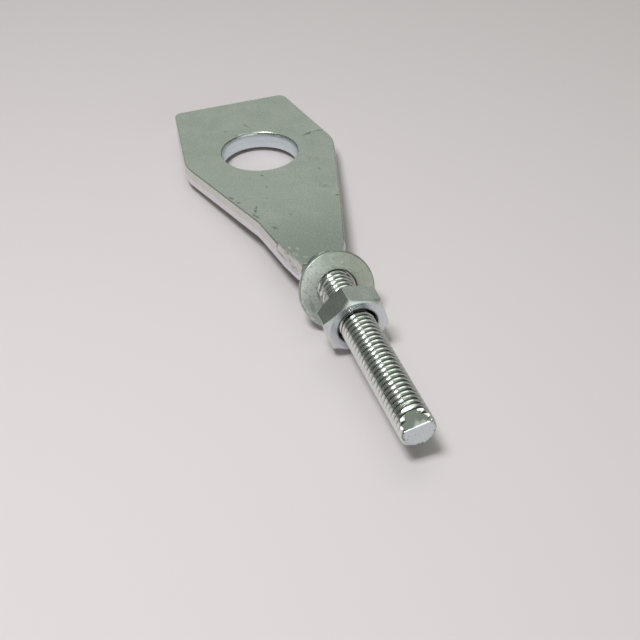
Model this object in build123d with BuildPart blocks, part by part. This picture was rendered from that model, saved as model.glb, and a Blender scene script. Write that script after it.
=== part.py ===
from build123d import *

import os
from math import asin, atan2, cos, degrees, hypot, radians, sin, sqrt, tan

# Chain adjuster of a small motorcycle. The rear axle passes through the plate, the stud is
# butt-welded to the plate's narrow end, and the nut and washer on it pull the axle back.
# Millimetres. The origin is the middle of the axle hole, +X runs along the stud to its free
# end and +Z is up. It lies at rest: the plate's far edge and the leaning washer touch one level.

# Plate: a flat blank punched from sheet, widest beside the axle hole
plate_thickness = 3.2
axle_dia = 14.0
axle_clearance = 0.1        # radial, hole over axle
head_length = 20.5          # hole centre to the far edge
head_width = 22.8           # across the far edge
shoulder_place = 0.5        # hole centre to the widest corners
shoulder_width = 29.5
flank_length = 23.2         # widest corners to the bend in the sides
flank_end_width = 15.6
neck_length = 10.3          # bend in the sides to where the tip starts
neck_width = 11.0
tip_length = 5.0
tip_margin = 1.15           # plate left each side of the weld
neck_offset = -1.0          # the neck and the stud stand off the hole's line
head_radius = 1.5
shoulder_radius = 8.0
flank_radius = 6.0
neck_radius = 2.0
tip_radius = 1.0
edge_roll = 0.3             # rounding that the punch leaves on the upper edges

# Stud: a rolled M6 rod, sheared off with a slanting flat at its free end
thread_dia = 5.9            # over the crests
stud_length = 40.8
end_chamfer = 0.45
flat_length = 3.3           # the slanting flat, back from the free end
flat_depth = 1.65
flat_roll = 12.0            # degrees about the stud

# Weld: the upset collar between the plate's end and the stud
bead_rise = 0.4             # collar over the thread crests
bead_length = 1.5
bead_round = 0.3

# Washer: loose on the stud, leaning back as far as its hole lets it
washer_thickness = 0.8
washer_rim = 2.8            # hole to outer edge
washer_lean = 30.0          # degrees, its front face looks up
washer_play = 0.05          # radial, hole over thread crests as it leans
washer_gap = 2.5            # stud root to the washer's rearmost edge
washer_round = 0.2

# Nut: hexagonal, chamfered at both ends
nut_wall = 2.0              # bore to flats
nut_height = 4.2
nut_gap = 1.85              # washer's foremost edge to the nut
nut_angle = -13.65          # degrees about the stud, from a corner at +Y
nut_face_step = 0.3         # flats to the flat ring inside the chamfer
nut_chamfer = 30.0          # degrees
nut_clearance = 0.05        # radial, bore over thread crests
nut_countersink = 0.4

# The leaning washer and the nut, measured along and below the stud's axis
lean = radians(washer_lean)
washer_inner = (thread_dia + 2 * washer_play + washer_thickness * sin(lean)) / cos(lean)
washer_outer = washer_inner + 2 * washer_rim
washer_reach = washer_outer / 2 * sin(lean) + washer_thickness / 2 * cos(lean)
washer_low = washer_outer / 2 * cos(lean) + washer_thickness / 2 * sin(lean)
washer_place = washer_gap + washer_reach
nut_place = washer_place + washer_reach + nut_gap
nut_bore = thread_dia + 2 * nut_clearance
nut_flats = nut_bore + 2 * nut_wall
nut_corner = nut_flats / sqrt(3)
nut_low = nut_corner * cos(radians(nut_angle % 60 - 30))
stud_height = max(washer_low, nut_low)

# The plate slopes up from its far edge until its end meets the stud's axis
flank_end = shoulder_place + flank_length
neck_end = flank_end + neck_length
tip_end = neck_end + tip_length
bead_dia = thread_dia + 2 * bead_rise
tip_width = bead_dia + 2 * tip_margin
plate_run = head_length + tip_end
plate_half = plate_thickness / 2
plate_rise = asin(stud_height / hypot(plate_run, plate_half)) - atan2(plate_half, plate_run)
along = Vector(cos(plate_rise), 0, sin(plate_rise))
normal = Vector(-sin(plate_rise), 0, cos(plate_rise))
plate_plane = Plane(origin=(0, 0, 0), x_dir=along, z_dir=normal)
stud_root = plate_plane.from_local_coords(Vector(tip_end, neck_offset, 0))
tip_plane = Plane(origin=stud_root, x_dir=(0, 1, 0), z_dir=along)

# The stud's own plane: local X is +Y, local Y is up, local Z runs to the free end
stud_plane = Plane(origin=stud_root, x_dir=(0, 1, 0), z_dir=(1, 0, 0))
root_overrun = bead_dia * tan(plate_rise)

os.makedirs("parts", exist_ok=True)

with BuildPart() as adjuster_plate:
    with BuildSketch(plate_plane.offset(-plate_half)) as blank:
        with BuildLine():
            Polyline(
                (-head_length, -head_width / 2),
                (shoulder_place, -shoulder_width / 2),
                (flank_end, -flank_end_width / 2),
                (neck_end, neck_offset - neck_width / 2),
                (tip_end, neck_offset - tip_width / 2),
                (tip_end, neck_offset + tip_width / 2),
                (neck_end, neck_offset + neck_width / 2),
                (flank_end, flank_end_width / 2),
                (shoulder_place, shoulder_width / 2),
                (-head_length, head_width / 2),
                close=True,
            )
        make_face()
        # from the tip back to the far edge, so that the pairs still to come keep their order
        corner_radii = (head_radius, shoulder_radius, flank_radius, neck_radius, tip_radius)
        for place in reversed(range(len(corner_radii))):
            corner_pairs = blank.vertices().group_by(Axis.X)
            fillet(corner_pairs[place], corner_radii[place])
        Circle(axle_dia / 2 + axle_clearance, mode=Mode.SUBTRACT)
    extrude(amount=plate_thickness)
    upper_edges = adjuster_plate.faces().sort_by(Axis((0, 0, 0), normal))[-1].edges()
    fillet(upper_edges.sort_by(Axis((0, 0, 0), along))[:-1], edge_roll)
adjuster_plate.part.label = "adjuster_plate"
export_step(adjuster_plate.part, "parts/adjuster_plate.step")

with BuildPart() as threaded_stud:
    with BuildSketch(stud_plane.offset(-root_overrun)):
        Circle(thread_dia / 2)
    extrude(amount=stud_length + root_overrun)
    chamfer(threaded_stud.edges().sort_by(Axis.X)[-1], end_chamfer)
    split(bisect_by=tip_plane, keep=Keep.TOP)
    roll = radians(flat_roll)
    flat_start = Vector(-sin(roll) * thread_dia / 2, cos(roll) * thread_dia / 2, stud_length - flat_length)
    flat_normal = Vector(flat_depth, -flat_length * sin(roll), flat_length * cos(roll))
    flat_plane = Plane(origin=stud_plane.from_local_coords(flat_start), z_dir=flat_normal)
    split(bisect_by=flat_plane, keep=Keep.BOTTOM)
threaded_stud.part.label = "threaded_stud"
export_step(threaded_stud.part, "parts/threaded_stud.step")

with BuildPart() as weld_bead:
    with BuildSketch(stud_plane.offset(-root_overrun)):
        Circle(bead_dia / 2)
    extrude(amount=bead_length + root_overrun)
    fillet(weld_bead.edges().sort_by(Axis.X)[-1], bead_round)
    with BuildSketch(stud_plane.offset(-root_overrun)):
        Circle(thread_dia / 2)
    extrude(amount=bead_length + root_overrun, mode=Mode.SUBTRACT)
    split(bisect_by=tip_plane, keep=Keep.TOP)
weld_bead.part.label = "weld_bead"
export_step(weld_bead.part, "parts/weld_bead.step")

washer_centre = stud_plane.from_local_coords(Vector(0, 0, washer_place))
washer_plane = Plane(origin=washer_centre, x_dir=(0, 1, 0), z_dir=(cos(lean), 0, sin(lean)))
with BuildPart() as plain_washer:
    with BuildSketch(washer_plane.offset(-washer_thickness / 2)):
        Circle(washer_outer / 2)
        Circle(washer_inner / 2, mode=Mode.SUBTRACT)
    extrude(amount=washer_thickness)
    front_face = plain_washer.faces().sort_by(Axis((0, 0, 0), washer_plane.z_dir))[-1]
    fillet(front_face.edges(), washer_round)
plain_washer.part.label = "plain_washer"
export_step(plain_washer.part, "parts/plain_washer.step")

with BuildPart() as hex_nut:
    with BuildSketch(stud_plane.offset(nut_place)):
        RegularPolygon(nut_corner, 6, rotation=nut_angle)
    extrude(amount=nut_height)
    nut_face = nut_flats / 2 - nut_face_step
    chamfer_height = (nut_corner - nut_face) * tan(radians(nut_chamfer))
    with BuildSketch(Plane(origin=stud_root, x_dir=(1, 0, 0), z_dir=(0, -1, 0))):
        with BuildLine():
            Polyline(
                (nut_place, 0),
                (nut_place, nut_face),
                (nut_place + chamfer_height, nut_corner),
                (nut_place + nut_height - chamfer_height, nut_corner),
                (nut_place + nut_height, nut_face),
                (nut_place + nut_height, 0),
                close=True,
            )
        make_face()
    revolve(axis=Axis(stud_root, (1, 0, 0)), mode=Mode.INTERSECT)
    with BuildSketch(stud_plane.offset(nut_place)):
        Circle(nut_bore / 2)
    extrude(amount=nut_height, mode=Mode.SUBTRACT)
    bore_rims = hex_nut.edges().filter_by(GeomType.CIRCLE).group_by(SortBy.RADIUS)[0]
    chamfer(bore_rims, nut_countersink)
hex_nut.part.label = "hex_nut"
export_step(hex_nut.part, "parts/hex_nut.step")

print(f"plate slope {degrees(plate_rise):.4f} degrees, level that it lies on {stud_root.Z - stud_height:.4f}")
print(f"plate along {tuple(along)}, normal {tuple(normal)}")
print(f"stud root {tuple(stud_root)}")
print(f"washer {washer_inner:.3f} in {washer_outer:.3f} at {washer_place:.3f}, nut at {nut_place:.3f}")
print(f"washer reach {washer_low:.3f} and nut reach {nut_low:.3f} below the stud's axis")
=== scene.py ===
import math

import bpy
from mathutils import Matrix, Vector


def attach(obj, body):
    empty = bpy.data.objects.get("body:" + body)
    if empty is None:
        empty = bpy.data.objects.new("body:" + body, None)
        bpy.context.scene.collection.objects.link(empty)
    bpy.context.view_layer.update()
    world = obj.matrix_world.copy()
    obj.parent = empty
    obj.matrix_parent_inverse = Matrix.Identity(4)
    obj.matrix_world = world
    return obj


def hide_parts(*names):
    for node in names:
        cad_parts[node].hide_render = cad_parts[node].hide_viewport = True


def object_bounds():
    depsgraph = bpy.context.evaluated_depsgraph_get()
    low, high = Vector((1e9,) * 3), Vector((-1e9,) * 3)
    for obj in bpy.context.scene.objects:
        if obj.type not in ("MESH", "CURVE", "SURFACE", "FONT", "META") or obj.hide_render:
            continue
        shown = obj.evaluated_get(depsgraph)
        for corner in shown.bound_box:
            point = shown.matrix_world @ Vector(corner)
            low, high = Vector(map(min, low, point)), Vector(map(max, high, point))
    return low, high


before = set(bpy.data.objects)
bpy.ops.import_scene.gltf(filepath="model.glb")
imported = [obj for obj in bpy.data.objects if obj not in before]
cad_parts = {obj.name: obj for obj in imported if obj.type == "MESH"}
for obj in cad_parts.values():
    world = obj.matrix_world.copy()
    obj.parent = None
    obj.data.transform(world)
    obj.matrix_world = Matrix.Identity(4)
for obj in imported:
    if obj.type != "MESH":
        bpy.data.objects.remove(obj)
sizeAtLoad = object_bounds()
mm = 0.001
hair = 0.001 * mm             # nearer than this counts as touching
mergeWithin = 0.0005 * mm
cutWithin = 0.0001 * mm
print("frame loaded:", sorted(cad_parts))

# where the pieces stand, in the part's frame
layout = {
    "slope": math.radians(4.0757),           # the plate rises towards the stud
    "studRoot": Vector((38.90137, -1.0, 2.771895)) * mm,
    "washerAt": 6.094 * mm,                  # along the stud, from its root
    "washerLean": math.radians(30.0),
    "nutAt": 11.538 * mm,
    "floorLevel": sizeAtLoad[0][2],          # the part's lowest point
}
plateFrame = Matrix.Rotation(-layout["slope"], 4, "Y")
studFrame = Matrix.Translation(layout["studRoot"])
washerFrame = (studFrame @ Matrix.Translation((layout["washerAt"], 0, 0))
               @ Matrix.Rotation(-layout["washerLean"], 4, "Y"))
nutFrame = studFrame @ Matrix.Translation((layout["nutAt"], 0, 0))
rootFacing = plateFrame.to_3x3() @ Vector((-1, 0, 0))     # the stud's root is square to the plate


def clearSelection():
    if bpy.context.object and bpy.context.mode != "OBJECT":
        bpy.ops.object.mode_set(mode="OBJECT")
    bpy.ops.object.select_all(action="DESELECT")


def makeActive(piece):
    clearSelection()
    piece.select_set(True)
    bpy.context.view_layer.objects.active = piece


def namePiece(name):
    piece = bpy.context.object
    piece.name = name
    piece.data.name = name
    return piece


def enterEdit(piece):
    makeActive(piece)
    bpy.ops.object.mode_set(mode="EDIT")


def leaveEdit():
    bpy.ops.object.mode_set(mode="OBJECT")


# picks vertices, edges or faces by their place and leaves the piece in edit mode
def pick(piece, kind, test):
    enterEdit(piece)
    bpy.ops.mesh.select_mode(type=kind)
    bpy.ops.mesh.select_all(action="DESELECT")
    leaveEdit()
    mesh = piece.data
    if kind == "VERT":
        for vertex in mesh.vertices:
            vertex.select = test(vertex.co)
    elif kind == "EDGE":
        for edge in mesh.edges:
            first, second = (mesh.vertices[i].co for i in edge.vertices)
            edge.select = test((first + second) / 2)
    else:
        for face in mesh.polygons:
            face.select = test(face.center, face.normal)
    bpy.ops.object.mode_set(mode="EDIT")


# the next five act in edit mode
def pickAll():
    bpy.ops.mesh.select_all(action="SELECT")


def extrudeBy(step):
    bpy.ops.mesh.extrude_region_move(TRANSFORM_OT_translate={"value": step})


def mergeDoubles():
    pickAll()
    bpy.ops.mesh.remove_doubles(threshold=mergeWithin)


def faceOutwards():
    pickAll()
    bpy.ops.mesh.normals_make_consistent(inside=False)


# cuts along a plane and takes away what lies beyond it
def cutBeyond(place, outwards, fill=False):
    pickAll()
    bpy.ops.mesh.bisect(plane_co=place, plane_no=Vector(outwards).normalized(), use_fill=fill,
                        clear_outer=True, threshold=cutWithin)


def applyTransform():
    bpy.ops.object.transform_apply(location=True, rotation=True, scale=True)


def applyPlace(piece, place):
    makeActive(piece)
    piece.matrix_world = place
    applyTransform()


def applyModifier(piece, modifier):
    makeActive(piece)
    bpy.ops.object.modifier_apply(modifier=modifier.name)


def joinSolids(piece, tool, operation):
    cut = piece.modifiers.new("cut", "BOOLEAN")
    cut.operation = operation
    cut.solver = "MANIFOLD"
    cut.object = tool
    applyModifier(piece, cut)
    bpy.data.objects.remove(tool)


def softenEdges(piece, width, segments, angle):
    soft = piece.modifiers.new("soft", "BEVEL")
    soft.width = width
    soft.segments = segments
    soft.limit_method = "ANGLE"
    soft.angle_limit = angle
    applyModifier(piece, soft)


# cloud-like unevenness in the mesh itself, all over or where a test says
def makeUneven(piece, amount, grain, test=None, direction="NORMAL", middle=0.5):
    clouds = bpy.data.textures.new(piece.name + "Uneven", "CLOUDS")
    clouds.noise_scale = grain
    clouds.noise_depth = 2
    uneven = piece.modifiers.new("uneven", "DISPLACE")
    uneven.texture = clouds
    uneven.texture_coords = "LOCAL"
    uneven.strength = amount
    uneven.mid_level = middle
    uneven.direction = direction
    if test:
        group = piece.vertex_groups.new(name="uneven")
        group.add([v.index for v in piece.data.vertices if test(v.co)], 1.0, "REPLACE")
        uneven.vertex_group = group.name
    applyModifier(piece, uneven)
    piece.vertex_groups.clear()


# merges doubles, turns faces outwards, puts the piece in its place and shades it
def settle(piece, place, smoothAngle):
    enterEdit(piece)
    bpy.ops.mesh.select_mode(type="VERT")
    mergeDoubles()
    faceOutwards()
    leaveEdit()
    applyPlace(piece, place)
    bpy.ops.object.shade_smooth_by_angle(angle=smoothAngle)


# flat faces stay flat in shading beside their rounded edges
def evenNormals(piece):
    even = piece.modifiers.new("even", "WEIGHTED_NORMAL")
    even.mode = "FACE_AREA"
    even.weight = 80
    even.keep_sharp = True
    applyModifier(piece, even)


def standFor(piece, body, node):
    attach(piece, body)
    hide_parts(node)
    faces = sum(len(face.vertices) - 2 for face in piece.data.polygons)
    print(piece.name, "made:", faces, "triangles")


plateShape = {
    "thickness": 3.2 * mm,
    "hole": 7.1 * mm, "holeSteps": 128,
    # pairs of corners: how far along, half the width there, and how they are rounded
    "headAt": -20.5 * mm, "headHalf": 11.4 * mm, "headRound": 1.5 * mm,
    "shoulderAt": 0.5 * mm, "shoulderHalf": 14.75 * mm, "shoulderRound": 8.0 * mm,
    "flankAt": 23.7 * mm, "flankHalf": 7.8 * mm, "flankRound": 6.0 * mm,
    "neckAt": 34.0 * mm, "neckHalf": 5.5 * mm, "neckRound": 2.0 * mm,
    "tipAt": 39.0 * mm, "tipHalf": 4.5 * mm, "tipRound": 1.0 * mm,
    "neckShift": -1.0 * mm,                  # the neck and the tip stand off the hole's line
    "arcSteps": 10,
    "roll": 0.3 * mm, "rollSteps": 4,        # the punch rolls the upper edges over
    "rimWide": 0.36 * mm, "rimDeep": 1.0 * mm, "rimSteps": 8,      # and the hole's rim
    "cleanCut": 1.85 * mm, "tearIn": (0.998, 0.991),     # below the clean cut the wall tears and draws in
    # clamp marks on the neck's upper edges: from, to (mm), and how steep (degrees)
    "clampMarks": [((30.9, -6.5), (39.3, -4.6), 74.0), ((39.4, 1.75), (32.8, 4.95), 60.0)],
    "clampSize": (2.4 * mm, 1.6 * mm), "clampUneven": 0.3 * mm, "clampGrain": 1.1 * mm,
    "blockCuts": 26,
    # the end that was upset in welding
    "endBlock": (1.0 * mm, 12.0 * mm, 5.0 * mm),
    "endLoss": 0.10 * mm, "endUneven": 0.18 * mm, "endGrain": 0.8 * mm,
    "smooth": math.radians(32.0),
}


# the plate's corners in order round it, each with the name of its pair
def plateCorners(s):
    middles = {"head": 0, "shoulder": 0, "flank": 0, "neck": s["neckShift"], "tip": s["neckShift"]}
    corners = []
    for side, names in ((1, middles), (-1, reversed(middles))):
        for name in names:
            corners.append((name, Vector((s[name + "At"], middles[name] + side * s[name + "Half"]))))
    return corners


# a block with lumpy faces, to take metal off with
def lumpyBlock(name, size, place, cuts, uneven, grain):
    clearSelection()
    bpy.ops.mesh.primitive_cube_add(size=1)
    block = namePiece(name)
    enterEdit(block)
    bpy.ops.transform.resize(value=size)
    bpy.ops.mesh.subdivide(number_cuts=cuts)
    leaveEdit()
    applyPlace(block, place)
    makeUneven(block, uneven, grain)
    return block


# the punch for the axle hole, with the rim that it rolls over
def axlePunch(s):
    top = s["thickness"] / 2
    level, radius = -s["thickness"], s["hole"]
    clearSelection()
    bpy.ops.mesh.primitive_circle_add(vertices=s["holeSteps"], radius=radius, fill_type="NGON",
                                      location=(0, 0, level))
    punch = namePiece("axlePunch")
    applyTransform()
    enterEdit(punch)
    pickAll()
    for step in range(s["rimSteps"] + 1):
        turn = math.pi / 2 * step / s["rimSteps"]
        nextLevel = top - s["rimDeep"] * (1 - math.sin(turn))
        nextRadius = s["hole"] + s["rimWide"] * (1 - math.cos(turn))
        extrudeBy((0, 0, nextLevel - level))
        grow = nextRadius / radius
        bpy.ops.transform.resize(value=(grow, grow, 1), center_override=(0, 0, 0))
        level, radius = nextLevel, nextRadius
    extrudeBy((0, 0, s["thickness"]))
    faceOutwards()
    leaveEdit()
    return punch


def buildPlate(s):
    top = s["thickness"] / 2
    length = s["flankAt"] - s["headAt"]
    clearSelection()
    bpy.ops.mesh.primitive_plane_add(size=1)
    plate = namePiece("punchedPlate")
    enterEdit(plate)
    bpy.ops.transform.resize(value=(length, 2 * s["shoulderHalf"], 1))
    bpy.ops.transform.translate(value=(s["headAt"] + length / 2, 0, top))
    # the head and the flanks are cut from the blank, one straight cut for each side
    for side in (1, -1):
        for start, end in (("head", "shoulder"), ("shoulder", "flank")):
            run = s[end + "At"] - s[start + "At"]
            narrowing = s[start + "Half"] - s[end + "Half"]
            cutBeyond((s[start + "At"], side * s[start + "Half"], 0), (narrowing, side * run, 0))
    # the neck and the tip are drawn out of the end, a little to one side
    for start, end, shift in (("flank", "neck", s["neckShift"]), ("neck", "tip", 0)):
        pick(plate, "EDGE", lambda co: co.x > s[start + "At"] - hair)
        extrudeBy((s[end + "At"] - s[start + "At"], shift, 0))
        bpy.ops.transform.resize(value=(1, s[end + "Half"] / s[start + "Half"], 1),
                                 center_override=(s[end + "At"], s["neckShift"], 0))
    bpy.ops.mesh.select_mode(type="FACE")
    pickAll()
    bpy.ops.mesh.dissolve_faces()
    # each pair of corners is rounded by its own radius
    corners = plateCorners(s)
    for place, (name, corner) in enumerate(corners):
        before = corners[place - 1][1]
        after = corners[(place + 1) % len(corners)][1]
        turn = (corner - before).angle(after - corner)
        pick(plate, "VERT", lambda co: (co.xy - corner).length < hair)
        bpy.ops.mesh.bevel(offset=s[name + "Round"] * math.tan(turn / 2), offset_type="ABSOLUTE",
                           segments=s["arcSteps"], profile=0.5, affect="VERTICES")
    # the sheet's thickness, in a clean band and a torn band
    bpy.ops.mesh.select_mode(type="FACE")
    pickAll()
    for drop in (s["cleanCut"], s["thickness"] - s["cleanCut"]):
        extrudeBy((0, 0, -drop))
    bpy.ops.transform.resize(value=(*s["tearIn"], 1), center_override=(s["tipAt"], 0, 0))
    faceOutwards()
    # rolled upper edges, but not along the welded end
    pick(plate, "EDGE", lambda co: co.z > top - hair and co.x < s["tipAt"] - hair)
    bpy.ops.mesh.bevel(offset=s["roll"], offset_type="OFFSET", segments=s["rollSteps"], profile=0.5,
                       affect="EDGES", clamp_overlap=False)
    leaveEdit()
    joinSolids(plate, axlePunch(s), "DIFFERENCE")
    # where the neck was clamped, its upper edges are scraped off unevenly
    wide, deep = s["clampSize"]
    for start, end, steep in s["clampMarks"]:
        a, b = (Vector((x * mm, y * mm, top)) for x, y in (start, end))
        run = (b - a).normalized()
        outwards = run.cross(Vector((0, 0, 1)))
        tilt = math.radians(steep)
        down = outwards * math.cos(tilt) - Vector((0, 0, math.sin(tilt)))
        inwards = run.cross(down)
        place = Matrix((run, down, inwards)).transposed().to_4x4()
        place.translation = (a + b) / 2 + down * wide / 2 - inwards * deep / 2
        block = lumpyBlock("clampMark", ((b - a).length, wide, deep), place, s["blockCuts"],
                           s["clampUneven"], s["clampGrain"])
        joinSolids(plate, block, "DIFFERENCE")
    # the end that was upset in welding is lumpy
    endPlace = Matrix.Translation((s["tipAt"] - s["endLoss"] + s["endBlock"][0] / 2, s["neckShift"], 0))
    block = lumpyBlock("upsetEnd", s["endBlock"], endPlace, s["blockCuts"], s["endUneven"], s["endGrain"])
    joinSolids(plate, block, "DIFFERENCE")
    settle(plate, plateFrame, s["smooth"])
    evenNormals(plate)
    return plate


threadShape = {
    "pitch": 1.0 * mm,
    "steps": 72,                             # around one turn
    "shift": 0.770 * mm,                     # a crest on top of the stud, past its root
    # one turn's profile: how far along (turns), and how high above the axis (mm)
    "profile": [(0.0, 2.95), (0.03, 2.947), (0.24, 2.915), (0.47, 2.345), (0.53, 2.345), (0.92, 2.915),
                (0.955, 2.94), (1.0, 2.95)],
    "spareTurns": 2,                         # wound beyond each end, then cut off
}


# a closed right-hand screw along +X, from one place on the axis to another
def buildScrew(name, s, start, end, grow=0.0, least=0.0):
    turns = math.ceil((end - start) / s["pitch"]) + 2 * s["spareTurns"]
    first = (math.floor(start / s["pitch"]) - s["spareTurns"]) * s["pitch"] + s["shift"]
    points = [Vector((along * s["pitch"] + first, 0, max(high * mm + grow, least)))
              for along, high in s["profile"]]
    clearSelection()
    bpy.ops.mesh.primitive_plane_add(size=mm)
    screw = namePiece(name)
    enterEdit(screw)
    bpy.ops.mesh.merge(type="CENTER")
    bpy.ops.transform.translate(value=points[0])
    for here, there in zip(points, points[1:]):
        extrudeBy(there - here)
    leaveEdit()
    wind = screw.modifiers.new("wind", "SCREW")
    wind.axis = "X"
    wind.angle = 2 * math.pi
    wind.screw_offset = s["pitch"]
    wind.iterations = turns
    wind.steps = s["steps"]
    wind.render_steps = s["steps"]
    applyModifier(screw, wind)
    enterEdit(screw)
    mergeDoubles()
    for place, side in ((start, -1), (end, 1)):
        cutBeyond((place, 0, 0), (side, 0, 0), fill=True)
    faceOutwards()
    leaveEdit()
    return screw


studShape = {
    "length": 40.79 * mm,
    "rootOver": 0.8 * mm, "rootIn": 0.25 * mm,            # the root reaches into the weld
    "blank": 3.3 * mm, "blankOver": 4.0 * mm,             # the bar that the end is turned on
    "blankSteps": 96, "chamfer": 0.8 * mm,
    "flatLength": 3.3 * mm, "flatDepth": 1.65 * mm, "flatRoll": math.radians(12.0),
    "crest": 2.95 * mm,
    "uneven": 0.035 * mm, "unevenGrain": 0.9 * mm,        # plating lies unevenly on the crests
    "endGrid": 0.3 * mm, "endUneven": 0.16 * mm, "endGrain": 0.55 * mm,
    "endFacing": 0.9,                        # its faces look along the stud at least this squarely
    "smooth": math.radians(40.0),
}


# a point on the slanting flat and the way that it faces
def flatPlane(s):
    across, up = -math.sin(s["flatRoll"]), math.cos(s["flatRoll"])
    rim = Vector((s["length"] - s["flatLength"], across * s["crest"], up * s["crest"]))
    slant = Vector((s["flatDepth"], across * s["flatLength"], up * s["flatLength"]))
    return rim, slant.normalized()


def buildStud(s):
    def atEnd(co):
        return co.x > s["length"] - hair

    stud = buildScrew("threadedStud", threadShape, -s["rootOver"], s["length"])
    makeUneven(stud, s["uneven"], s["unevenGrain"], lambda co: not atEnd(co))
    clearSelection()
    bpy.ops.mesh.primitive_cylinder_add(vertices=s["blankSteps"], radius=s["blank"],
                                        depth=s["length"] + s["blankOver"],
                                        location=((s["length"] - s["blankOver"]) / 2, 0, 0),
                                        rotation=(0, math.pi / 2, 0))
    blank = namePiece("studBlank")
    applyTransform()
    pick(blank, "EDGE", atEnd)
    bpy.ops.mesh.bevel(offset=s["chamfer"], offset_type="OFFSET", segments=1, affect="EDGES")
    leaveEdit()
    joinSolids(stud, blank, "INTERSECT")
    # the root is cut square to the plate, and the free end has a slanting flat
    rim, slant = flatPlane(s)
    enterEdit(stud)
    for place, outwards in ((rootFacing * s["rootIn"], rootFacing), (rim, slant)):
        cutBeyond(place, outwards, fill=True)
    leaveEdit()
    # the sheared end is rough: it is cut into a grid and made uneven
    lines = math.floor(s["crest"] / s["endGrid"])
    for axis in ((0, 1, 0), (0, 0, 1)):
        for line in range(-lines, lines + 1):
            pick(stud, "FACE", lambda co, normal: atEnd(co) and normal.x > s["endFacing"])
            bpy.ops.mesh.bisect(plane_co=Vector(axis) * (line + 0.5) * s["endGrid"], plane_no=axis,
                                threshold=cutWithin)
    leaveEdit()
    makeUneven(stud, s["endUneven"], s["endGrain"], atEnd, direction="X", middle=1.0)
    settle(stud, studFrame, s["smooth"])
    return stud


# a closed ring about X: its section is rounded where one test says, cut up where another does, and spun
def spinRing(name, s, back, front, roundAt, cutUpAt):
    clearSelection()
    bpy.ops.mesh.primitive_plane_add(size=1)
    ring = namePiece(name)
    enterEdit(ring)
    bpy.ops.transform.rotate(value=math.pi / 2, orient_axis="X", center_override=(0, 0, 0))
    bpy.ops.transform.resize(value=(front - back, 1, s["outer"] - s["inner"]))
    bpy.ops.transform.translate(value=((front + back) / 2, 0, (s["outer"] + s["inner"]) / 2))
    bpy.ops.mesh.delete(type="ONLY_FACE")
    pick(ring, "VERT", roundAt)
    bpy.ops.mesh.bevel(offset=s["round"], segments=s["roundSteps"], profile=0.5, affect="VERTICES")
    pick(ring, "EDGE", cutUpAt)
    bpy.ops.mesh.subdivide(number_cuts=s["rings"])
    pickAll()
    bpy.ops.mesh.spin(steps=s["steps"], angle=2 * math.pi, center=(0, 0, 0), axis=(1, 0, 0),
                      use_normal_flip=False)
    mergeDoubles()
    faceOutwards()
    leaveEdit()
    return ring


beadShape = {
    "outer": 3.28 * mm, "inner": 2.6 * mm, "length": 1.42 * mm,
    "over": 0.8 * mm, "rootIn": 0.25 * mm,                # it reaches into the plate's end
    "round": 0.4 * mm, "roundSteps": 6, "steps": 96, "rings": 10,
    "lumps": 0.2 * mm, "lumpSize": 0.8 * mm,
    "smooth": math.radians(50.0),
}


def buildBead(s):
    bead = spinRing("weldCollar", s, -s["over"], s["length"],
                    lambda co: co.x > 0 and co.z > s["inner"] + hair,
                    lambda co: co.z > s["outer"] - hair)
    makeUneven(bead, s["lumps"], s["lumpSize"])
    enterEdit(bead)
    cutBeyond(rootFacing * s["rootIn"], rootFacing, fill=True)
    leaveEdit()
    settle(bead, studFrame, s["smooth"])
    return bead


washerShape = {
    "inner": 3.42 * mm, "outer": 6.495 * mm, "thickness": 0.8 * mm,
    "round": 0.2 * mm, "roundSteps": 4, "steps": 160, "rings": 12,
    "uneven": 0.035 * mm, "unevenGrain": 1.6 * mm,
    # nicks in the outer edge: where around it (degrees from +Y, upwards), how deep
    "nicks": [(188.0, 0.16 * mm), (203.0, 0.12 * mm), (217.0, 0.10 * mm)], "nickReach": 0.3 * mm,
    "smooth": math.radians(40.0),
}


def buildWasher(s):
    front = s["thickness"] / 2
    washer = spinRing("stampedWasher", s, -front, front, lambda co: co.x > 0,
                      lambda co: abs(abs(co.x) - front) < hair)
    makeUneven(washer, s["uneven"], s["unevenGrain"], lambda co: abs(co.x) > front - hair, direction="X")
    for angle, deep in s["nicks"]:
        turn = math.radians(angle)
        out = Vector((0, math.cos(turn), math.sin(turn)))
        rim = out * s["outer"] + Vector((front, 0, 0))
        pick(washer, "VERT", lambda co: (co - rim).length < s["nickReach"])
        bpy.ops.transform.translate(value=-out * deep - Vector((deep / 2, 0, 0)))
    leaveEdit()
    settle(washer, washerFrame, s["smooth"])
    evenNormals(washer)
    return washer


nutShape = {
    "flats": 10.0 * mm, "height": 4.2 * mm, "turn": math.radians(-13.65),
    "faceRing": 4.7 * mm, "chamfer": math.radians(30.0), "coneSteps": 144,
    "soft": 0.09 * mm, "softSteps": 2, "softFrom": math.radians(12.0),
    "bore": 3.0 * mm, "countersink": 0.4 * mm,
    # the countersinking tool starts outside the nut and has a blunt tip
    "sinkOver": 0.5 * mm, "sinkTip": 0.4 * mm, "sinkSteps": 96,
    "threadGap": 0.07 * mm, "minor": 2.46 * mm, "tapOver": 0.7 * mm,
    "smooth": math.radians(30.0),
}


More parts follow.
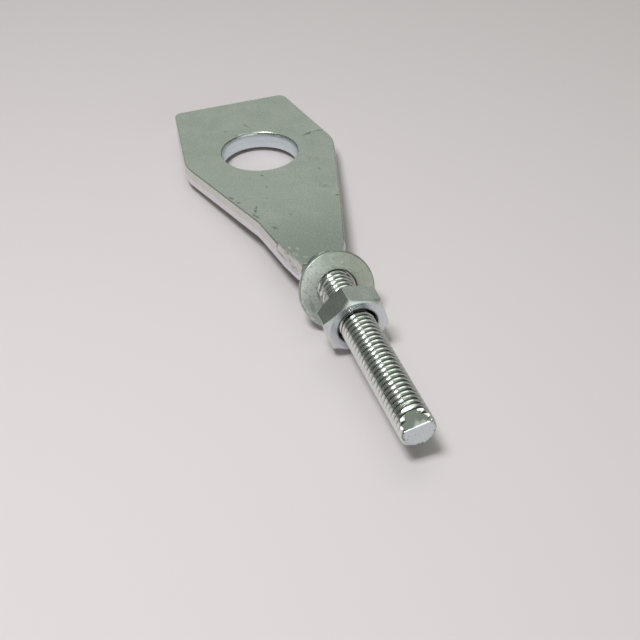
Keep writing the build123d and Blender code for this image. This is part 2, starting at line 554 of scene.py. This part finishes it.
def buildNut(s):
    corner = s["flats"] / math.sqrt(3)
    clearSelection()
    bpy.ops.mesh.primitive_cylinder_add(vertices=6, radius=corner, depth=s["height"])
    nut = namePiece("hexNut")
    # the primitive's axis goes to +X and one corner to +Y, then the nut is turned on the stud
    axisToX = Matrix(((0, 0, 1, 0), (0, 1, 0, 0), (-1, 0, 0, 0), (0, 0, 0, 1)))
    turned = Matrix.Rotation(s["turn"], 4, "X") @ axisToX
    applyPlace(nut, Matrix.Translation((s["height"] / 2, 0, 0)) @ turned)
    # a double cone takes the corners off both ends
    rise = (corner - s["faceRing"]) * math.tan(s["chamfer"])
    clearSelection()
    bpy.ops.mesh.primitive_circle_add(vertices=s["coneSteps"], radius=s["faceRing"], fill_type="NGON",
                                      rotation=(0, math.pi / 2, 0))
    cone = namePiece("nutCone")
    applyTransform()
    enterEdit(cone)
    pickAll()
    wide = corner / s["faceRing"]
    for step, scale in ((rise, wide), (s["height"] - 2 * rise, 1.0), (rise, 1 / wide)):
        extrudeBy((step, 0, 0))
        bpy.ops.transform.resize(value=(1, scale, scale), center_override=(0, 0, 0))
    faceOutwards()
    leaveEdit()
    joinSolids(nut, cone, "INTERSECT")
    softenEdges(nut, s["soft"], s["softSteps"], s["softFrom"])
    # countersinks of 45 degrees at both ends, then the thread
    mouth = s["bore"] + s["countersink"]
    depth = mouth + s["sinkOver"] - s["sinkTip"]
    for face, inwards in ((0, 1), (s["height"], -1)):
        clearSelection()
        bpy.ops.mesh.primitive_cone_add(vertices=s["sinkSteps"], radius1=mouth + s["sinkOver"],
                                        radius2=s["sinkTip"], depth=depth,
                                        location=(face + inwards * (depth / 2 - s["sinkOver"]), 0, 0),
                                        rotation=(0, inwards * math.pi / 2, 0))
        sink = namePiece("sink")
        applyTransform()
        joinSolids(nut, sink, "DIFFERENCE")
    tap = buildScrew("nutTap", threadShape, layout["nutAt"] - s["tapOver"],
                     layout["nutAt"] + s["height"] + s["tapOver"], grow=s["threadGap"], least=s["minor"])
    applyPlace(tap, Matrix.Translation((-layout["nutAt"], 0, 0)))
    joinSolids(nut, tap, "DIFFERENCE")
    settle(nut, nutFrame, s["smooth"])
    evenNormals(nut)
    return nut


# building blocks of the finishes
def feed(tree, socket, value):
    if isinstance(value, bpy.types.NodeSocket):
        tree.links.new(value, socket)
    else:
        socket.default_value = value


def addNode(tree, kind, settings=None, **inputs):
    made = tree.nodes.new(kind)
    for key, value in (settings or {}).items():
        setattr(made, key, value)
    for key, value in inputs.items():
        feed(tree, made.inputs[key.replace("_", " ")], value)
    return made


def calc(tree, operation, first, second):
    made = addNode(tree, "ShaderNodeMath", {"operation": operation})
    feed(tree, made.inputs[0], first)
    feed(tree, made.inputs[1], second)
    return made.outputs[0]


def times(tree, first, second):
    return calc(tree, "MULTIPLY", first, second)


def vectorCalc(tree, operation, first, second=(0, 0, 0), output="Vector"):
    made = addNode(tree, "ShaderNodeVectorMath", {"operation": operation})
    feed(tree, made.inputs[0], first)
    feed(tree, made.inputs[1], second)
    return made.outputs[output]


def splitPlace(tree, place):
    return addNode(tree, "ShaderNodeSeparateXYZ", Vector=place).outputs


# how far a place lies from the X axis
def fromAxis(tree, place):
    return vectorCalc(tree, "LENGTH", vectorCalc(tree, "MULTIPLY", place, (0, 1, 1)), output="Value")


# a soft step from 0 to 1, or between two other shares, as a value goes from low to high
def spread(tree, value, low, high, shareLow=0.0, shareHigh=1.0):
    made = addNode(tree, "ShaderNodeMapRange", {"clamp": True, "interpolation_type": "SMOOTHSTEP"})
    feed(tree, made.inputs["Value"], value)
    for key, number in (("From Min", low), ("From Max", high), ("To Min", shareLow), ("To Max", shareHigh)):
        made.inputs[key].default_value = number
    return made.outputs["Result"]


# a Mix node has its colour sockets after those for numbers and vectors
def blendColour(tree, share, first, second):
    made = addNode(tree, "ShaderNodeMix", {"data_type": "RGBA"})
    feed(tree, made.inputs[0], share)
    feed(tree, made.inputs[6], first)
    feed(tree, made.inputs[7], second)
    return made.outputs[2]


def grey(level):
    return (level, level, level, 1)


def cloudy(tree, place, size, detail=4.0):
    made = addNode(tree, "ShaderNodeTexNoise", Vector=place, Scale=1 / size, Detail=detail, Roughness=0.6)
    return made.outputs["Fac"]


# clouds as a share: their size, the noise where they begin and are full, and the most that they cover
def patches(tree, place, size, begin, full, most=1.0, detail=4.0):
    return spread(tree, cloudy(tree, place, size, detail), begin, full, 0.0, most)


# a place measured from a centre, along turned axes, in a size of its own for each
def seenFrom(tree, place, centre=(0, 0, 0), turn=(0, 0, 0), size=(1, 1, 1)):
    made = addNode(tree, "ShaderNodeMapping", {"vector_type": "TEXTURE"}, Vector=place, Location=centre,
                   Rotation=turn, Scale=size)
    return made.outputs[0]


# clouds drawn out into lines along the turned axis that has the largest size
def streaky(tree, place, turn, size):
    return cloudy(tree, seenFrom(tree, place, turn=turn, size=size), 1.0, 3.0)


# the same place, pushed about a little, so that marks aren't true ovals
def wobbly(tree, place, size, amount):
    push = addNode(tree, "ShaderNodeTexNoise", Vector=place, Scale=1 / size, Detail=2.0).outputs["Color"]
    push = vectorCalc(tree, "SUBTRACT", push, (0.5, 0.5, 0.5))
    push = vectorCalc(tree, "MULTIPLY", push, (amount, amount, amount))
    return vectorCalc(tree, "ADD", place, push)


def strongest(tree, masks):
    most = masks[0]
    for mask in masks[1:]:
        most = calc(tree, "MAXIMUM", most, mask)
    return most


# 1 in the core of an oval on the surface, 0 outside
def oval(tree, place, centre, turn, halves, core=0.45):
    far = vectorCalc(tree, "LENGTH", seenFrom(tree, place, centre, turn, halves), output="Value")
    return spread(tree, far, core, 1.0, 1.0, 0.0)


# ovals of several strengths, which a function lays on their face
def marks(tree, place, spots, lay):
    masks = [times(tree, oval(tree, place, *lay(*spot)), strength) for *spot, strength in spots]
    return strongest(tree, masks)


# fine lines: the ways that they run, their size, the noise where they begin and are full, their share
def scratches(tree, place, turns, size, begin, full, share):
    lines = [spread(tree, streaky(tree, place, turn, size), begin, full) for turn in turns]
    return times(tree, strongest(tree, lines), share)


# roughness that follows the grain, over the range that noise mostly keeps to
def grainyRough(tree, grain, least, most):
    return spread(tree, grain, 0.3, 0.7, least, most)


def startFinish(name):
    material = bpy.data.materials.new(name)
    material.use_nodes = True
    tree = material.node_tree
    tree.nodes.clear()
    return material, tree, addNode(tree, "ShaderNodeTexCoord").outputs["Object"]


def endFinish(tree, colour, rough, height, deep):
    bump = addNode(tree, "ShaderNodeBump", Strength=1.0, Distance=deep, Height=height)
    shader = addNode(tree, "ShaderNodeBsdfPrincipled", Base_Color=colour, Roughness=rough, Metallic=1.0,
                     Normal=bump.outputs["Normal"])
    out = addNode(tree, "ShaderNodeOutputMaterial")
    tree.links.new(shader.outputs[0], out.inputs[0])


# in the finishes, a band or step is given as spread takes it, and clouds as patches takes them
plateFinish = {
    "pale": (0.70, 0.745, 0.695, 1), "dull": (0.625, 0.67, 0.62, 1), "blue": (0.65, 0.69, 0.675, 1),
    # the first tone on the next line is painted shade, darkening the upper face towards the neck
    "neckShadeTone": (0.46, 0.51, 0.465, 1), "wall": (0.73, 0.73, 0.695, 1), "torn": (0.835, 0.825, 0.855, 1),
    "bore": (0.75, 0.83, 0.86, 1), "dark": (0.22, 0.25, 0.22, 1), "bright": (0.92, 0.94, 0.92, 1),
    "rough": (0.22, 0.33), "wallRougher": 0.09,
    "mottle": (5 * mm, 0.36, 0.64), "blueParts": (11 * mm, 0.45, 0.65, 0.6, 2.0),
    "flecks": (0.9 * mm, 0.56, 0.74, 0.13), "grainSize": 0.35 * mm,
    "neckShade": (19 * mm, 36 * mm),                           # along the plate
    "rubbed": (0.4 * mm, 0.40, 0.52, 1.5), "chipped": (0.3 * mm, 0.40, 0.52),
    "wobble": (0.5 * mm, 0.5 * mm),                       # size, amount
    "scratches": ([(0, 0, math.radians(turn)) for turn in (12, 74, 128)], (9 * mm, 0.09 * mm, mm),
                  0.66, 0.74, 0.3),
    # bands of the wall, from the upper face down, and one up from the underside
    "skin": (-0.05 * mm, -0.01 * mm), "edgeBand": (-0.9 * mm, -0.6 * mm),
    "wallBand": (-0.45 * mm, -0.25 * mm, 1, 0), "underBand": (0.005 * mm, 0.02 * mm),
    "tearSize": (0.3 * mm, 0.3 * mm, 5 * mm), "tearReach": 0.4 * mm,
    "tearBand": (0.12 * mm, 0.3 * mm, 1, 0), "tearDark": (0.46, 0.70, 0, 0.16),
    "boreBand": (0.5 * mm, 1.1 * mm, 1, 0),               # out from the hole's wall
    "deep": 0.03 * mm, "grainRelief": 0.09,
    # marks on the upper face: x, y, half length, half width (mm), turn (degrees), strength
    "pits": [
        (8.9, -2.4, 0.5, 0.3, 20, 0.7), (13.1, -2.8, 0.38, 0.28, 0, 0.6), (16.7, -4.0, 0.5, 0.22, 60, 0.5),
        (23.5, -1.6, 0.4, 0.28, 0, 0.5), (26.6, -5.6, 0.8, 0.5, 30, 0.6), (20.3, 8.3, 0.5, 0.32, 80, 0.9),
        (14.5, -9.9, 0.8, 0.3, 35, 0.8), (16.4, -9.1, 0.6, 0.35, 35, 0.8), (10.4, 8.3, 0.5, 0.3, 0, 0.4)],
    "rubs": [
        (-2.9, 10.7, 1.9, 0.5, 110, 0.6), (-3.4, 13.2, 1.4, 0.4, 95, 0.6), (19.8, -7.0, 1.8, 0.3, 158, 0.6),
        (21.8, -7.6, 1.5, 0.4, 20, 0.45), (6.5, 8.5, 1.6, 1.0, 40, 0.22), (16.6, 7.2, 1.6, 0.7, 70, 0.25),
        (-10.3, 0.5, 1.8, 0.3, 15, 0.35), (-6.9, -2.0, 1.4, 0.7, 60, 0.25), (-9.5, -3.6, 2.2, 0.5, 75, 0.2)],
    "specks": [
        (32.0, 2.5, 0.4, 0.3, 0, 0.8), (34.2, -4.1, 0.6, 0.35, 30, 0.9), (12.9, 3.3, 0.3, 0.2, 0, 0.5),
        (33.4, -5.2, 0.5, 0.3, 0, 0.9), (35.6, -4.9, 0.9, 0.4, 20, 0.8), (37.0, -3.6, 0.5, 0.3, 40, 0.6),
        (-7.3, -1.2, 0.5, 1.3, 0, 0.9), (-7.2, 1.0, 0.5, 1.2, 0, 0.8), (-6.9, 2.6, 0.4, 0.8, 0, 0.5)],
}


def plateZinc(s):
    material, tree, place = startFinish("plateZinc")
    top = plateShape["thickness"] / 2
    height = vectorCalc(tree, "DOT_PRODUCT", place, plateFrame.to_3x3() @ Vector((0, 0, 1)), "Value")
    fromTop = calc(tree, "SUBTRACT", height, top)
    fromUnder = calc(tree, "ADD", height, top)
    grain = cloudy(tree, place, s["grainSize"])
    colour = blendColour(tree, patches(tree, place, *s["mottle"]), s["dull"], s["pale"])
    colour = blendColour(tree, patches(tree, place, *s["blueParts"]), colour, s["blue"])
    colour = blendColour(tree, patches(tree, place, *s["flecks"]), colour, s["dark"])
    # painted shade: the upper face darkens towards the neck
    # this band places the painted shade along the plate
    neckShade = spread(tree, splitPlace(tree, place)["X"], *s["neckShade"])
    colour = blendColour(tree, neckShade, colour, s["neckShadeTone"])
    # handling marks
    shaken = wobbly(tree, place, *s["wobble"])

    def lay(x, y, halfLong, halfWide, turn):
        centre = plateFrame @ Vector((x * mm, y * mm, top))
        return centre, (0, 0, math.radians(turn)), (halfLong * mm, halfWide * mm, mm)

    pits = marks(tree, shaken, s["pits"], lay)
    rubs = times(tree, marks(tree, shaken, s["rubs"], lay), patches(tree, place, *s["rubbed"]))
    bare = times(tree, marks(tree, shaken, s["specks"], lay), patches(tree, place, *s["chipped"]))
    onTop = spread(tree, fromTop, *s["skin"])
    dark = times(tree, calc(tree, "MAXIMUM", pits, rubs), onTop)
    colour = blendColour(tree, dark, colour, s["dark"])
    colour = blendColour(tree, scratches(tree, place, *s["scratches"]), colour, s["bright"])
    # the punched wall: a clean band above, a torn one with upright streaks below
    tears = streaky(tree, place, (0, -layout["slope"], 0), s["tearSize"])
    fromCut = calc(tree, "ADD", fromTop, plateShape["cleanCut"])
    torn = spread(tree, calc(tree, "ADD", fromCut, times(tree, tears, s["tearReach"])), *s["tearBand"])
    wall = blendColour(tree, torn, s["wall"], s["torn"])
    wall = blendColour(tree, spread(tree, tears, *s["tearDark"]), wall, s["dark"])
    fromBore = calc(tree, "SUBTRACT", vectorCalc(tree, "LENGTH", place, output="Value"), plateShape["hole"])
    wall = blendColour(tree, spread(tree, fromBore, *s["boreBand"]), wall, s["bore"])
    onWall = times(tree, spread(tree, fromTop, *s["wallBand"]), spread(tree, fromUnder, *s["underBand"]))
    colour = blendColour(tree, onWall, colour, wall)
    # bare specks show on the upper face and over its edges
    nearTop = spread(tree, fromTop, *s["edgeBand"])
    colour = blendColour(tree, times(tree, bare, nearTop), colour, s["bright"])
    rough = calc(tree, "ADD", grainyRough(tree, grain, *s["rough"]), times(tree, onWall, s["wallRougher"]))
    relief = calc(tree, "SUBTRACT", times(tree, grain, s["grainRelief"]), dark)
    relief = calc(tree, "ADD", relief, times(tree, times(tree, tears, torn), onWall))
    endFinish(tree, colour, rough, relief, s["deep"])
    return material


studFinish = {
    # the second tone on the next line is dirt and painted shade in the thread's valleys
    "crest": (0.86, 0.885, 0.86, 1), "valleyDirtAndShade": (0.22, 0.26, 0.21, 1), "stain": (0.64, 0.69, 0.63, 1),
    "end": (0.70, 0.74, 0.77, 1), "pit": (0.22, 0.25, 0.24, 1),
    # the second tone on the next line is painted shade for the stud's sides
    "flat": (0.60, 0.65, 0.60, 1), "side": (0.36, 0.39, 0.36, 1),
    "rough": 0.17, "valleyRough": 0.34, "endRough": 0.42, "flatRough": 0.1, "burrRough": 0.36,
    "blotSize": 0.9 * mm, "blotShare": (0.5, 0.68, 0, 0.5), "grainSize": 0.25 * mm,
    "valleyBand": (2.32 * mm, 2.60 * mm, 1, 0), "valleyUneven": 0.3 * mm,      # out from the axis
    # the next two bands place that painted shade: up the stud, and across it
    "shadeUp": (2.2 * mm, 2.75 * mm, 0.9, 0), "shadeAcross": (-1.0 * mm, 1.0 * mm, 0.1, 1),
    "endBand": (-0.3 * mm, -0.2 * mm),                    # along, from the free end
    "pitSize": 0.35 * mm, "pitRim": (1.9 * mm, 2.7 * mm, 0, 0.14), "pitShare": (0.60, 0.70),
    "flatSkin": (-0.03 * mm, -0.01 * mm), "flatStart": (-0.1 * mm, 0.0),
    "burrSize": 0.5 * mm, "burrUneven": 1.6 * mm, "burrBand": (3.3 * mm, 3.5 * mm),
    "deep": 0.008 * mm, "grainRelief": 0.5,
}


def studZinc(s):
    material, tree, place = startFinish("studZinc")
    fromRoot = vectorCalc(tree, "SUBTRACT", place, layout["studRoot"])
    radius = fromAxis(tree, fromRoot)
    parts = splitPlace(tree, fromRoot)
    fromEnd = calc(tree, "SUBTRACT", parts["X"], studShape["length"])
    blots = cloudy(tree, place, s["blotSize"])
    grain = cloudy(tree, place, s["grainSize"])
    # dirt and painted shade darken the valleys, unevenly
    uneven = calc(tree, "SUBTRACT", radius, times(tree, blots, s["valleyUneven"]))
    valleyDirtAndShade = spread(tree, uneven, *s["valleyBand"])
    colour = blendColour(tree, spread(tree, blots, *s["blotShare"]), s["crest"], s["stain"])
    colour = blendColour(tree, valleyDirtAndShade, colour, s["valleyDirtAndShade"])
    rough = blendColour(tree, valleyDirtAndShade, grey(s["rough"]), grey(s["valleyRough"]))
    # painted shade: the stud is darker down its sides and underneath, most of all on the right
    dull = times(tree, spread(tree, parts["Z"], *s["shadeUp"]), spread(tree, parts["Y"], *s["shadeAcross"]))
    colour = blendColour(tree, dull, colour, s["side"])
    # the sheared end is pitted, most of all along its rim
    pitting = calc(tree, "ADD", cloudy(tree, place, s["pitSize"]), spread(tree, radius, *s["pitRim"]))
    endColour = blendColour(tree, spread(tree, pitting, *s["pitShare"]), s["end"], s["pit"])
    atEnd = spread(tree, fromEnd, *s["endBand"])
    colour = blendColour(tree, atEnd, colour, endColour)
    rough = blendColour(tree, atEnd, rough, grey(s["endRough"]))
    # the slanting flat is smooth
    rim, slant = flatPlane(studShape)
    overFlat = vectorCalc(tree, "DOT_PRODUCT", vectorCalc(tree, "SUBTRACT", fromRoot, rim), slant, "Value")
    pastStart = calc(tree, "ADD", fromEnd, studShape["flatLength"])
    onFlat = times(tree, spread(tree, overFlat, *s["flatSkin"]), spread(tree, pastStart, *s["flatStart"]))
    colour = blendColour(tree, onFlat, colour, s["flat"])
    rough = blendColour(tree, onFlat, rough, grey(s["flatRough"]))
    # with a ragged, rough burr along its sides
    ragged = calc(tree, "ADD", radius, times(tree, cloudy(tree, place, s["burrSize"]), s["burrUneven"]))
    burr = times(tree, onFlat, spread(tree, ragged, *s["burrBand"]))
    colour = blendColour(tree, burr, colour, s["crest"])
    rough = blendColour(tree, burr, rough, grey(s["burrRough"]))
    relief = calc(tree, "ADD", times(tree, grain, s["grainRelief"]), blots)
    relief = times(tree, relief, calc(tree, "SUBTRACT", 1.0, onFlat))
    endFinish(tree, colour, rough, relief, s["deep"])
    return material


weldFinish = {
    "pale": (0.50, 0.53, 0.50, 1), "dull": (0.33, 0.36, 0.33, 1), "rough": (0.32, 0.50),
    "lumpSize": 0.5 * mm, "lumpShare": (0.38, 0.62), "deep": 0.06 * mm,
}


def weldZinc(s):
    material, tree, place = startFinish("weldZinc")
    lumps = cloudy(tree, place, s["lumpSize"])
    colour = blendColour(tree, spread(tree, lumps, *s["lumpShare"]), s["dull"], s["pale"])
    endFinish(tree, colour, grainyRough(tree, lumps, *s["rough"]), lumps, s["deep"])
    return material


washerFinish = {
    "pale": (0.64, 0.68, 0.635, 1), "dull": (0.52, 0.565, 0.525, 1), "warm": (0.49, 0.49, 0.435, 1),
    # the first tone on the next line is painted reflection, lightening the left part of the front face
    "paintedSheen": (0.98, 1.0, 0.98, 1), "dark": (0.34, 0.39, 0.36, 1), "bright": (0.95, 0.96, 0.95, 1),
    "rough": (0.36, 0.50),
    "mottle": (1.3 * mm, 0.38, 0.62), "grainSize": 0.3 * mm, "grainDark": (0.50, 0.66, 0, 0.6),
    "sheenBand": (-5 * mm, 0.5 * mm, 0.8, 0), "warmBand": (-1 * mm, 4 * mm, 0, 0.75),   # across the face
    "rimShadeBand": (-0.22 * mm, -0.12 * mm, 0, 0.7),          # in from the outer edge
    "wobble": (0.5 * mm, 0.5 * mm),                       # size, amount
    "deep": 0.03 * mm, "grainRelief": 0.5,
    # on the front face: across, up (mm from the middle), half sizes, turn (degrees), strength
    "stains": [
        (-4.7, -1.9, 0.7, 1.4, 10, 0.55), (-5.3, 0.7, 0.35, 0.2, 60, 0.5), (-5.7, -0.6, 0.3, 0.2, 0, 0.5)],
    "scrapes": [
        (1.5, 4.4, 0.45, 0.1, 0, 0.9), (-4.3, 1.5, 0.2, 0.3, 20, 0.6), (-5.6, -1.9, 0.2, 0.2, 0, 0.6)],
}


def washerZinc(s):
    material, tree, place = startFinish("washerZinc")
    laid = seenFrom(tree, place, washerFrame.translation, (0, -layout["washerLean"], 0))
    across = splitPlace(tree, laid)["Y"]
    grain = cloudy(tree, place, s["grainSize"])
    colour = blendColour(tree, patches(tree, place, *s["mottle"]), s["dull"], s["pale"])
    # painted reflection: the left part of the face is lighter
    colour = blendColour(tree, spread(tree, across, *s["sheenBand"]), colour, s["paintedSheen"])
    colour = blendColour(tree, spread(tree, across, *s["warmBand"]), colour, s["warm"])
    colour = blendColour(tree, spread(tree, grain, *s["grainDark"]), colour, s["dark"])
    # handling marks
    shaken = wobbly(tree, laid, *s["wobble"])

    def lay(across, up, wide, high, turn):
        return (0, across * mm, up * mm), (math.radians(turn), 0, 0), (mm, wide * mm, high * mm)

    stains = marks(tree, shaken, s["stains"], lay)
    colour = blendColour(tree, stains, colour, s["dark"])
    colour = blendColour(tree, marks(tree, shaken, s["scrapes"], lay), colour, s["bright"])
    # painted shade: the outer rim is darkened, which damps its highlight
    fromRim = calc(tree, "SUBTRACT", fromAxis(tree, laid), washerShape["outer"])
    colour = blendColour(tree, spread(tree, fromRim, *s["rimShadeBand"]), colour, s["dark"])
    relief = calc(tree, "SUBTRACT", times(tree, grain, s["grainRelief"]), stains)
    endFinish(tree, colour, grainyRough(tree, grain, *s["rough"]), relief, s["deep"])
    return material


nutFinish = {
    "pale": (0.71, 0.75, 0.725, 1), "dull": (0.62, 0.66, 0.635, 1), "dark": (0.30, 0.33, 0.31, 1),
    # the first tone on the next line is painted shade for the bore and its countersinks
    "bore": (0.10, 0.11, 0.10, 1), "bright": (0.92, 0.93, 0.93, 1), "front": (0.69, 0.74, 0.79, 1),
    "rough": (0.17, 0.28),
    "mottle": (2.2 * mm, 0.38, 0.62), "grainSize": 0.3 * mm,
    "drawnSize": (6 * mm, 0.16 * mm, 0.16 * mm), "drawnDark": (0.58, 0.72, 0, 0.4),
    "scratches": (((0.5, 0.4, 0.9), (1.2, 0.2, 0.3)), (4 * mm, 0.07 * mm, 0.07 * mm), 0.68, 0.75, 0.5),
    "frontBand": (-0.3 * mm, -0.1 * mm, 0, 0.8),          # along, from the front face
    "boreBand": (3.20 * mm, 3.60 * mm, 1, 0), "boreUneven": 0.3 * mm,          # out from the axis
    "deep": 0.02 * mm, "grainRelief": 0.4,
}


def nutZinc(s):
    material, tree, place = startFinish("nutZinc")
    fromRoot = vectorCalc(tree, "SUBTRACT", place, layout["studRoot"])
    grain = cloudy(tree, place, s["grainSize"])
    colour = blendColour(tree, patches(tree, place, *s["mottle"]), s["dull"], s["pale"])
    # lines from drawing the bar run along the nut, with scratches over them
    drawn = streaky(tree, place, (0, 0, 0), s["drawnSize"])
    colour = blendColour(tree, spread(tree, drawn, *s["drawnDark"]), colour, s["dark"])
    colour = blendColour(tree, scratches(tree, place, *s["scratches"]), colour, s["bright"])
    # the turned front face is bluer
    frontAt = layout["nutAt"] + nutShape["height"]
    fromFront = calc(tree, "SUBTRACT", splitPlace(tree, fromRoot)["X"], frontAt)
    colour = blendColour(tree, spread(tree, fromFront, *s["frontBand"]), colour, s["front"])
    # painted shade in the bore and its countersinks, with an uneven edge
    boreShade = calc(tree, "SUBTRACT", fromAxis(tree, fromRoot), times(tree, grain, s["boreUneven"]))
    colour = blendColour(tree, spread(tree, boreShade, *s["boreBand"]), colour, s["bore"])
    relief = calc(tree, "ADD", times(tree, grain, s["grainRelief"]), drawn)
    endFinish(tree, colour, grainyRough(tree, grain, *s["rough"]), relief, s["deep"])
    return material


plate = buildPlate(plateShape)
standFor(plate, "adjuster", "adjuster_plate")
stud = buildStud(studShape)
standFor(stud, "adjuster", "threaded_stud")
bead = buildBead(beadShape)
standFor(bead, "adjuster", "weld_bead")
washer = buildWasher(washerShape)
standFor(washer, "washer", "plain_washer")
nut = buildNut(nutShape)
standFor(nut, "nut", "hex_nut")
finishes = (
    (plate, plateZinc(plateFinish)),
    (stud, studZinc(studFinish)),
    (bead, weldZinc(weldFinish)),
    (washer, washerZinc(washerFinish)),
    (nut, nutZinc(nutFinish)),
)
for piece, finish in finishes:
    piece.data.materials.clear()
    piece.data.materials.append(finish)
print("finishes on")


studio = {
    "floorColour": (0.775, 0.718, 0.742, 1), "floorRough": 0.55, "floorGloss": 0.2, "floorSize": 3.0,
    "roomLevel": 0.12, "roomTint": (0.97, 1.03, 0.93),
    # soft bright parts of the room: which way, full within and gone beyond (degrees), how bright
    "brightParts": [
        ((-0.85, 0.18, 0.50), 12, 46, 0.31),     # wall behind the plate
        ((0.0, 0.0, 1.0), 5, 65, 0.19),          # ceiling
        ((0.95, 0.02, 0.26), 4, 18, 0.7),        # windows in front, side by side
        ((0.93, 0.22, 0.29), 4, 18, 0.7),
        ((0.82, 0.55, 0.17), 4, 18, 0.7),
        ((-0.465, -0.10, 0.88), 6, 15, 0.25),    # a bright strip of ceiling behind, from left to right
        ((-0.475, 0.20, 0.857), 6, 15, 0.7),
        ((-0.485, 0.44, 0.757), 4, 12, 0.7),
        ((-0.71, -0.67, 0.22), 8, 30, 0.035),    # wall at the left
    ],
    "keyPlace": Vector((0.08, -0.105, 0.313)), "keyAim": Vector((0.1, -0.02, 0.0)),
    "keySize": 0.11, "keyPower": 0.69,
    # the photo's view: from, towards, and turned about the line of sight
    "eye": Vector((199.2109, -59.4454, 138.9381)) * mm, "eyeAim": Vector((48.2263, -5.1139, 0.0)) * mm,
    "eyeRoll": math.radians(0.206), "lens": 73.125, "sensor": 36.0, "nearest": 0.01,
}


def buildFloor(s):
    clearSelection()
    bpy.ops.mesh.primitive_plane_add(size=s["floorSize"], location=(0, 0, layout["floorLevel"]))
    floor = namePiece("tableTop")
    applyTransform()
    material = bpy.data.materials.new("paleTable")
    material.use_nodes = True
    shader = material.node_tree.nodes["Principled BSDF"]
    shader.inputs["Base Color"].default_value = s["floorColour"]
    shader.inputs["Roughness"].default_value = s["floorRough"]
    shader.inputs["Specular IOR Level"].default_value = s["floorGloss"]
    floor.data.materials.append(material)


# the room that the metal mirrors: dim, with a few soft bright parts
def buildRoom(s):
    world = bpy.data.worlds.new("softRoom")
    world.use_nodes = True
    tree = world.node_tree
    heading = addNode(tree, "ShaderNodeTexCoord").outputs["Generated"]
    level = s["roomLevel"]
    for towards, within, beyond, bright in s["brightParts"]:
        facing = vectorCalc(tree, "DOT_PRODUCT", heading, Vector(towards).normalized(), "Value")
        gone, full = (math.cos(math.radians(angle)) for angle in (beyond, within))
        level = calc(tree, "ADD", level, spread(tree, facing, gone, full, 0, bright))
    tinted = addNode(tree, "ShaderNodeVectorMath", {"operation": "SCALE"}, Scale=level)
    tinted.inputs[0].default_value = s["roomTint"]
    tree.links.new(tinted.outputs[0], tree.nodes["Background"].inputs["Color"])
    bpy.context.scene.world = world


def buildLamp(s):
    bpy.ops.object.light_add(type="AREA", location=s["keyPlace"])
    key = bpy.context.object
    key.name = "softKey"
    key.data.shape = "DISK"
    key.data.size = s["keySize"]
    key.data.energy = s["keyPower"]
    key.rotation_euler = (s["keyAim"] - s["keyPlace"]).to_track_quat("-Z", "Y").to_euler()


def buildCamera(s):
    bpy.ops.object.camera_add(location=s["eye"])
    eye = bpy.context.object
    eye.name = "photoView"
    look = (s["eyeAim"] - s["eye"]).to_track_quat("-Z", "Y").to_matrix()
    eye.rotation_euler = (look @ Matrix.Rotation(s["eyeRoll"], 3, "Z")).to_euler()
    eye.data.sensor_width = s["sensor"]
    eye.data.lens = s["lens"]
    eye.data.clip_start = s["nearest"]
    bpy.context.scene.camera = eye
    bpy.context.scene.view_settings.view_transform = "Standard"


for build in (buildFloor, buildRoom, buildLamp, buildCamera):
    build(studio)
print("studio set")
